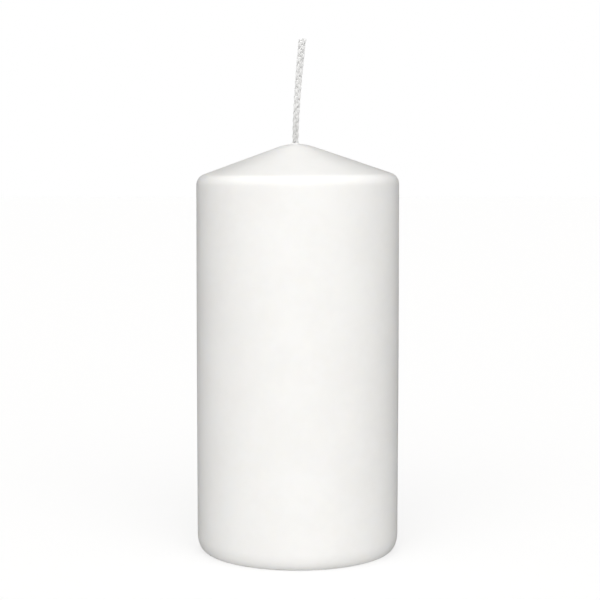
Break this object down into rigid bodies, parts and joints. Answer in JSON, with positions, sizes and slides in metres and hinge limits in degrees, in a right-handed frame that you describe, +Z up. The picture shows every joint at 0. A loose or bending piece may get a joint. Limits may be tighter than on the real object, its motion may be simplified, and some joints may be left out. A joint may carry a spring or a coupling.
{
  "type": "unity candle",
  "caption": "Plain white pillar candle with a shallow conical top, a dipped outer skin and a flat plaited wick held by a metal clip in the base.",
  "frame": {"origin": "centre of the base, on the surface that the candle stands on", "axes": "+Z up along the candle's axis; the wick stands 0.75 mm from the axis towards -X and its free end leans towards +X; the flat face of the wick's free end looks along -Y"},
  "size_m": [0.07, 0.07, 0.1774],
  "materials": {
    "pressed_wax": "pressed paraffin grains, matt",
    "dipped_wax": "smooth dipped paraffin, satin",
    "run_wax": "wax set where it ran, satin",
    "primed_cotton": "plaited cotton yarn, primed with wax",
    "tinned_steel": "bright tinned sheet"
  },
  "bodies": {
    "root": {"core": "pressed_wax", "outer_coat": "dipped_wax", "wick_strand_a": "primed_cotton", "wick_strand_b": "primed_cotton", "wick_strand_c": "primed_cotton", "channel_wax": "run_wax", "wick_clip": "tinned_steel", "base_seal": "run_wax"}
  },
  "joints": []
}
